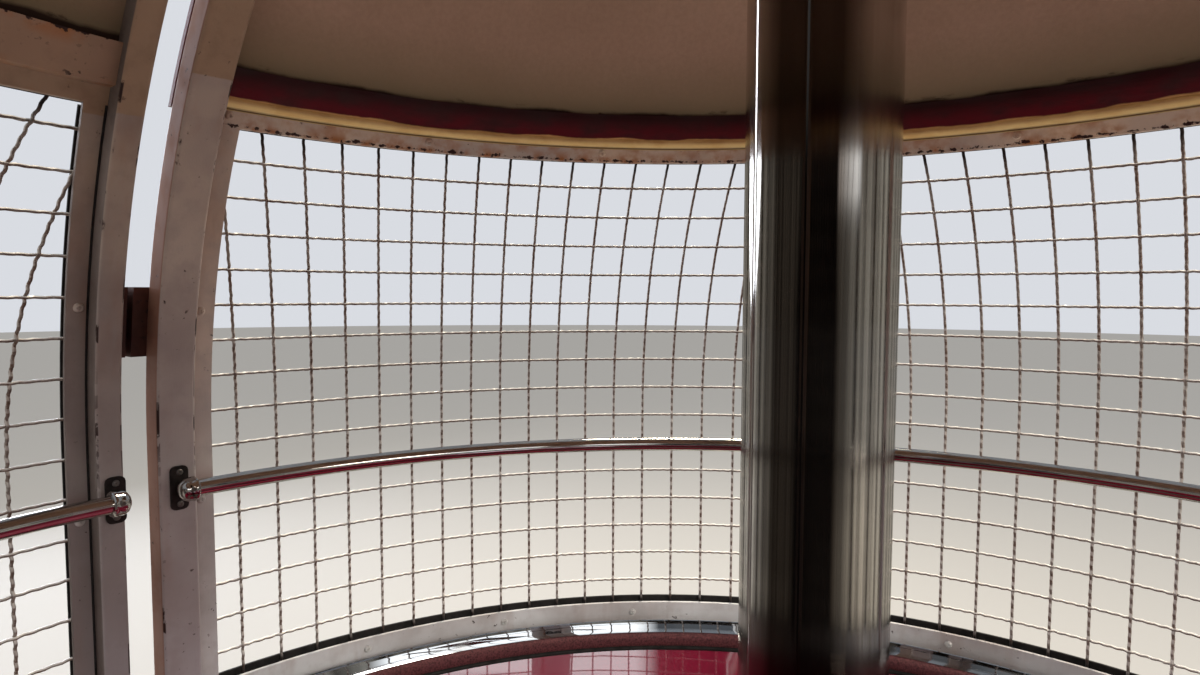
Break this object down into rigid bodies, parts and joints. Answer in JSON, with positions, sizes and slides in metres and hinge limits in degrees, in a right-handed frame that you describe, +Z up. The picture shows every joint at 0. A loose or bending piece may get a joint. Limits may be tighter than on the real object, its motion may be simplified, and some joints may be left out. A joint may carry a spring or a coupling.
{
  "type": "ferris wheel gondola",
  "caption": "Round wheel gondola with a cone-shaped tub, a woven mesh cage between curved posts, a domed roof, a bench, a centre pole and a full-height curved door with latches.",
  "frame": {"origin": "on the cabin's upright axis, at the underside of the feet", "axes": "+Z up; -Y through the middle of the door; +Y is also the direction of the hanger bore"},
  "size_m": [1.3864, 1.3851, 1.9833],
  "materials": {
    "yellow_steel": "orange-yellow paint with rust spots",
    "floor_steel": "worn chequered steel",
    "crimson_frp": "glossy crimson gelcoat on glass fibre",
    "maroon_frp": "dark red brush paint",
    "beige_frp": "rough beige glass fibre, painted",
    "white_steel": "aged off-white paint with chips and rust",
    "wire_steel": "dull galvanised wire, rusty at its ends",
    "polished_steel": "polished stainless steel",
    "black_rubber": "matte black"
  },
  "bodies": {
    "cabin": {"foot_brackets": "yellow_steel", "base_pan": "yellow_steel", "floor_plate": "floor_steel", "tub_shell": "crimson_frp", "jamb_strips": "crimson_frp", "backrest": "crimson_frp", "bench_seat": "crimson_frp", "bench_ends": "crimson_frp", "rim_ring": "white_steel", "post_hinge_jamb": "white_steel", "post_rear_left": "white_steel", "post_rear": "white_steel", "post_right": "white_steel", "post_latch_jamb": "white_steel", "frame_front_bay": "white_steel", "frame_rear_left_bay": "white_steel", "frame_rear_right_bay": "white_steel", "frame_right_bay": "white_steel", "mesh_front_bay": "wire_steel", "mesh_rear_left_bay": "wire_steel", "mesh_rear_right_bay": "wire_steel", "mesh_right_bay": "wire_steel", "rail_front_bay": "polished_steel", "rail_rear_left_bay": "polished_steel", "rail_rear_right_bay": "polished_steel", "rail_right_bay": "polished_steel", "cornice": "maroon_frp", "ceiling": "beige_frp", "roof_dome": "crimson_frp", "door_head": "white_steel", "crown_plate": "white_steel", "hanger_head": "white_steel", "centre_pole": "polished_steel", "pole_flange": "polished_steel", "hinge_fixed_leaves": "white_steel", "latch_keepers": "polished_steel", "door_buffer": "black_rubber"},
    "door": {"door_panel": "crimson_frp", "door_stiles": "white_steel", "door_frame": "white_steel", "door_mesh": "wire_steel", "door_beam": "white_steel", "door_roof": "maroon_frp", "door_rail": "polished_steel", "door_hinge_leaves": "white_steel", "bolt_housing": "polished_steel", "lever_base": "polished_steel"},
    "bolt": {"barrel_bolt": "polished_steel"},
    "lever": {"latch_lever": "polished_steel"}
  },
  "joints": [
    {"name": "door_hinge", "type": "hinge", "parent": "cabin", "child": "door", "pos_m": [-0.51831, -0.51831, 0.61], "axis": [0, 0, -1], "range_deg": [0, 100]},
    {"name": "bolt_slide", "type": "slide", "parent": "door", "child": "bolt", "axis": [0.7071, 0.7071, 0], "range_m": [0, 0.026]},
    {"name": "lever_pivot", "type": "hinge", "parent": "door", "child": "lever", "pos_m": [0.45113, -0.53599, 0.8655], "axis": [0.7071, -0.7071, 0], "range_deg": [0, 88]}
  ]
}
